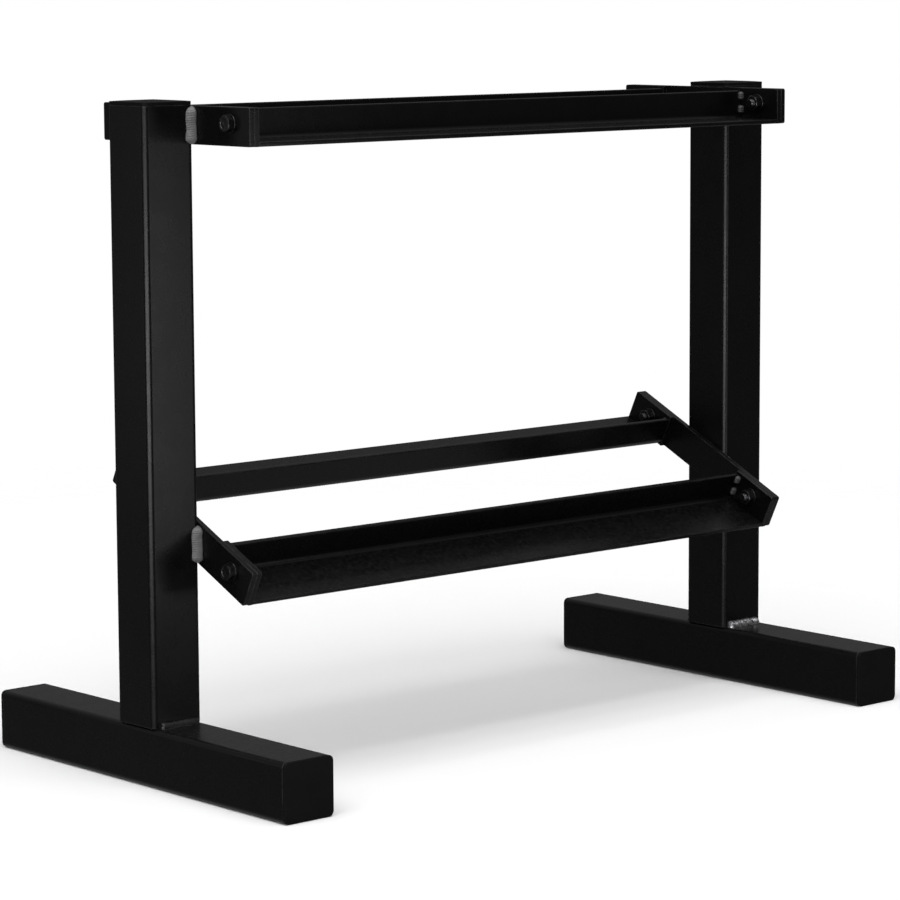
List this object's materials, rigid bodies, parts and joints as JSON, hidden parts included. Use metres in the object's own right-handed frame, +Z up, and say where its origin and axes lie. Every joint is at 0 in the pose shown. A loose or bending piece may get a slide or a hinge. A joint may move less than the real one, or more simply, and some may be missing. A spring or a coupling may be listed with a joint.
{
  "type": "dumbbell rack",
  "caption": "Free-standing two-tier dumbbell rack: square-tube end frames joined by bolted L-section rails, level upper tier and forward-sloping lower tier.",
  "frame": {"origin": "on the floor under the middle of the rack: the centre of the underside of its bounding box", "axes": "+X along the rails towards the right-hand end frame seen from the front, +Y from front to back along the feet, +Z up"},
  "size_m": [0.7316, 0.4, 0.5728],
  "materials": {
    "powder_coat": "near-black powder coat, semi-gloss with fine orange peel",
    "weld_coat": "rippled weld bead under the powder coat, with brighter crests",
    "plug_plastic": "fine-grained moulded polyethylene",
    "bolt_steel": "dark zinc, lightly worn at the corners"
  },
  "bodies": {
    "root": {"left_foot": "powder_coat", "right_foot": "powder_coat", "left_upright": "powder_coat", "right_upright": "powder_coat", "left_upright_cap": "plug_plastic", "right_upright_cap": "plug_plastic", "left_foot_front_cap": "plug_plastic", "left_foot_rear_cap": "plug_plastic", "right_foot_front_cap": "plug_plastic", "right_foot_rear_cap": "plug_plastic", "upper_left_bracket": "powder_coat", "upper_right_bracket": "powder_coat", "lower_left_bracket": "powder_coat", "lower_right_bracket": "powder_coat", "upper_front_rail": "powder_coat", "upper_rear_rail": "powder_coat", "lower_front_rail": "powder_coat", "lower_rear_rail": "powder_coat", "upper_front_left_plate": "powder_coat", "upper_front_right_plate": "powder_coat", "upper_rear_left_plate": "powder_coat", "upper_rear_right_plate": "powder_coat", "lower_front_left_plate": "powder_coat", "lower_front_right_plate": "powder_coat", "lower_rear_left_plate": "powder_coat", "lower_rear_right_plate": "powder_coat", "left_foot_welds": "weld_coat", "right_foot_welds": "weld_coat", "upper_left_bracket_welds": "weld_coat", "upper_right_bracket_welds": "weld_coat", "lower_left_bracket_welds": "weld_coat", "lower_right_bracket_welds": "weld_coat", "upper_front_rail_welds": "weld_coat", "upper_rear_rail_welds": "weld_coat", "lower_front_rail_welds": "weld_coat", "lower_rear_rail_welds": "weld_coat", "upper_bolts": "bolt_steel", "lower_bolts": "bolt_steel", "upper_washers": "bolt_steel", "lower_washers": "bolt_steel", "upper_nuts": "bolt_steel", "lower_nuts": "bolt_steel"}
  },
  "joints": []
}
